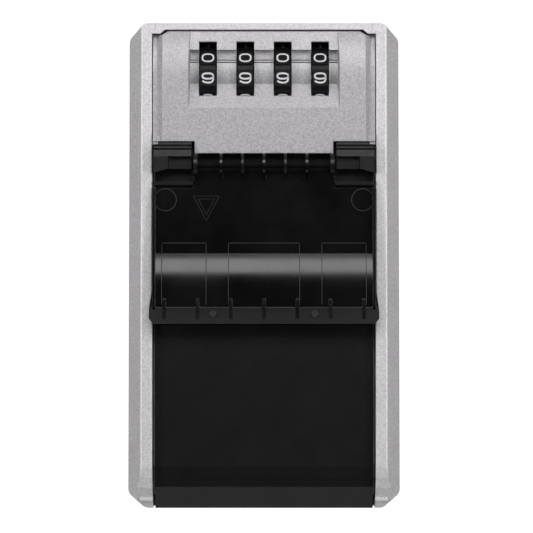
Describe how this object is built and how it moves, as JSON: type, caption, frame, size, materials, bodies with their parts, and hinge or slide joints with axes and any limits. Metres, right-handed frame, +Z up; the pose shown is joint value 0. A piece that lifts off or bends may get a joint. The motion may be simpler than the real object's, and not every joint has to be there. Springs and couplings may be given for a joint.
{
  "type": "combination key safe",
  "caption": "Wall-mounted combination key safe: cast case, bottom-hinged door with number dials, release tabs and a flip-up weather cover.",
  "frame": {"origin": "centre of the case's back face, which lies on the wall", "axes": "+Z up along the case's height, +Y into the wall, +X to the right seen from the front"},
  "size_m": [0.103, 0.0584, 0.1842],
  "materials": {
    "painted_zinc": "silver-grey paint, fine grain",
    "satin_plastic": "satin black moulding",
    "flap_plastic": "smoke-black glossy moulding",
    "tab_plastic": "satin black moulding",
    "dial_plastic": "satin black with white figures",
    "rubber": "matt black",
    "steel": "zinc-plated",
    "brass": "turned"
  },
  "bodies": {
    "case": {"housing": "painted_zinc", "cavity_liner": "rubber", "key_hooks": "steel", "door_pin": "steel", "shackle_plug_left": "rubber", "shackle_plug_right": "rubber", "strike_left": "steel", "strike_right": "steel", "strike_screw_left": "steel", "strike_screw_right": "steel"},
    "door": {"axle_spacer": "brass", "back_plate": "steel", "cover_screw_lower_left": "steel", "cover_screw_lower_right": "steel", "cover_screw_upper_left": "steel", "cover_screw_upper_right": "steel", "detent_spring": "steel", "dial_axle": "steel", "door_casting": "painted_zinc", "flap_pin": "steel", "lower_cover": "satin_plastic", "plate_screw_lower_left": "steel", "plate_screw_lower_right": "steel", "plate_screw_upper_left": "steel", "plate_screw_upper_right": "steel"},
    "flap": {"flap": "flap_plastic", "flap_bumper_left": "rubber", "flap_bumper_right": "rubber"},
    "dial_1": {"dial_1": "dial_plastic", "code_wheel_1": "brass"},
    "dial_2": {"dial_2": "dial_plastic", "code_wheel_2": "brass"},
    "dial_3": {"dial_3": "dial_plastic", "code_wheel_3": "brass"},
    "dial_4": {"dial_4": "dial_plastic", "code_wheel_4": "brass"},
    "release": {"release_slide": "steel", "latch_bolt_left": "steel", "latch_bolt_right": "steel", "release_spring_left": "steel", "release_spring_right": "steel", "release_tab_left": "tab_plastic", "release_tab_right": "tab_plastic", "tab_screw_left": "steel", "tab_screw_right": "steel"},
    "reset": {"reset_comb": "steel", "reset_knob": "tab_plastic"}
  },
  "joints": [
    {"name": "door_hinge", "type": "hinge", "parent": "case", "child": "door", "pos_m": [0, -0.0375, -0.08325], "axis": [1, 0, 0], "range_deg": [0, 100]},
    {"name": "flap_hinge", "type": "hinge", "parent": "door", "child": "flap", "pos_m": [0, -0.054, 0.03835], "axis": [-1, 0, 0], "range_deg": [0, 178]},
    {"name": "dial_1_spin", "type": "hinge", "parent": "door", "child": "dial_1", "pos_m": [-0.02115, -0.0384, 0.07155], "axis": [1, 0, 0], "continuous": true},
    {"name": "dial_2_spin", "type": "hinge", "parent": "door", "child": "dial_2", "pos_m": [-0.00705, -0.0384, 0.07155], "axis": [1, 0, 0], "continuous": true},
    {"name": "dial_3_spin", "type": "hinge", "parent": "door", "child": "dial_3", "pos_m": [0.00705, -0.0384, 0.07155], "axis": [1, 0, 0], "continuous": true},
    {"name": "dial_4_spin", "type": "hinge", "parent": "door", "child": "dial_4", "pos_m": [0.02115, -0.0384, 0.07155], "axis": [1, 0, 0], "continuous": true},
    {"name": "release_pull", "type": "slide", "parent": "door", "child": "release", "axis": [0, 0, -1], "range_m": [0, 0.003], "stiffness_N_per_m": 800, "springref_m": -0.002, "deforming": ["release_spring_left", "release_spring_right"]},
    {"name": "reset_slide", "type": "slide", "parent": "door", "child": "reset", "axis": [0, 0, 1], "range_m": [0, 0.003]}
  ]
}
